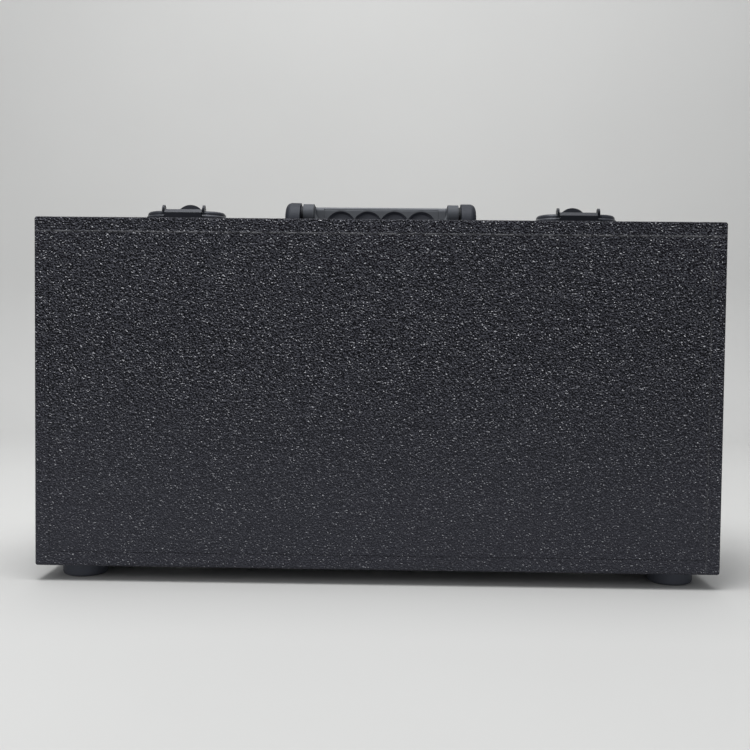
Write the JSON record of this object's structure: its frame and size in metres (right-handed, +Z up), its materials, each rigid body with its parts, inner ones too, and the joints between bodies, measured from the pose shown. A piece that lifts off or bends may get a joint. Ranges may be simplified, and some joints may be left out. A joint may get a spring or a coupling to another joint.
{
  "type": "modular synth case",
  "caption": "Portable wooden case for modular synthesizer rows, with a hinged lid, draw latches and a folding handle, shown closed on its feet.",
  "frame": {"origin": "on the floor under the middle of the closed case", "axes": "+X to the right along the case's width, +Y from the lid to the back, +Z up"},
  "size_m": [0.5716, 0.17, 0.3295],
  "materials": {
    "coated_wood": "plywood under a rough black textured coating",
    "foot_rubber": "matt moulded rubber",
    "rail_aluminium": "satin anodised",
    "plain_steel": "zinc plated",
    "black_screws": "black oxide",
    "black_metal": "black powder coat",
    "handle_plastic": "moulded, fine grain",
    "black_plastic": "moulded",
    "circuit_board": "solder mask"
  },
  "bodies": {
    "case": {"body_top": "coated_wood", "body_bottom": "coated_wood", "body_left": "coated_wood", "body_right": "coated_wood", "body_back": "coated_wood", "cheek_left": "coated_wood", "cheek_right": "coated_wood", "rail_lower_bottom": "rail_aluminium", "rail_lower_top": "rail_aluminium", "rail_upper_bottom": "rail_aluminium", "rail_upper_top": "rail_aluminium", "threaded_strips": "plain_steel", "rail_screws": "plain_steel", "bus_board_lower": "circuit_board", "bus_board_upper": "circuit_board", "bus_headers": "black_plastic", "board_standoffs": "plain_steel", "supply_board": "circuit_board", "supply_heat_sink": "rail_aluminium", "supply_capacitors": "black_plastic", "inlet_plate": "black_metal", "inlet_plate_screws": "black_screws", "power_jack": "black_plastic", "power_jack_nut": "plain_steel", "switch_housing": "black_plastic", "body_feet": "foot_rubber", "body_foot_screws": "black_screws", "hinge_body_leaves": "plain_steel", "hinge_pins": "plain_steel", "hinge_body_screws": "black_screws", "latch_base_left": "black_metal", "latch_base_right": "black_metal", "latch_base_screws": "black_screws", "latch_pivot_pins": "plain_steel", "handle_mount_left": "handle_plastic", "handle_mount_right": "handle_plastic", "handle_mount_screws": "black_screws", "handle_pins": "plain_steel"},
    "lid": {"lid_panel": "coated_wood", "lid_top": "coated_wood", "lid_bottom": "coated_wood", "lid_left": "coated_wood", "lid_right": "coated_wood", "lid_feet": "foot_rubber", "lid_foot_screws": "black_screws", "hinge_lid_leaves": "plain_steel", "hinge_lid_screws": "black_screws", "latch_keepers": "black_metal", "latch_keeper_screws": "black_screws"},
    "handle": {"handle_bow": "handle_plastic", "handle_grip": "handle_plastic"},
    "switch_rocker": {"switch_rocker": "black_plastic"},
    "latch_left_lever": {"latch_lever_left": "black_metal", "latch_claw_pin_left": "plain_steel"},
    "latch_left_claw": {"latch_claw_left": "black_metal"},
    "latch_right_lever": {"latch_lever_right": "black_metal", "latch_claw_pin_right": "plain_steel"},
    "latch_right_claw": {"latch_claw_right": "black_metal"}
  },
  "joints": [
    {"name": "lid_hinge", "type": "hinge", "parent": "case", "child": "lid", "pos_m": [0, -0.02485, 0.0096], "axis": [1, 0, 0], "range_deg": [0, 130]},
    {"name": "latch_left_lever", "type": "hinge", "parent": "case", "child": "latch_left_lever", "pos_m": [-0.175, -0.018, 0.3136], "axis": [1, 0, 0], "range_deg": [0, 100]},
    {"name": "latch_left_claw", "type": "hinge", "parent": "latch_left_lever", "child": "latch_left_claw", "pos_m": [-0.175, -0.01003, 0.31248], "axis": [1, 0, 0], "range_deg": [-116, 0]},
    {"name": "latch_right_lever", "type": "hinge", "parent": "case", "child": "latch_right_lever", "pos_m": [0.175, -0.018, 0.3136], "axis": [1, 0, 0], "range_deg": [0, 100]},
    {"name": "latch_right_claw", "type": "hinge", "parent": "latch_right_lever", "child": "latch_right_claw", "pos_m": [0.175, -0.01003, 0.31248], "axis": [1, 0, 0], "range_deg": [-116, 0]},
    {"name": "handle_fold", "type": "hinge", "parent": "case", "child": "handle", "pos_m": [0, 0.012, 0.3175], "axis": [1, 0, 0], "range_deg": [0, 90]},
    {"name": "switch_rocker", "type": "hinge", "parent": "case", "child": "switch_rocker", "pos_m": [0.27876, 0.0397, 0.061], "axis": [0, 0, -1], "range_deg": [0, 16]}
  ],
  "couplings": [
    {"joint": "latch_left_claw", "follows": "latch_left_lever", "ratio": -1.15},
    {"joint": "latch_right_claw", "follows": "latch_right_lever", "ratio": -1.15}
  ]
}
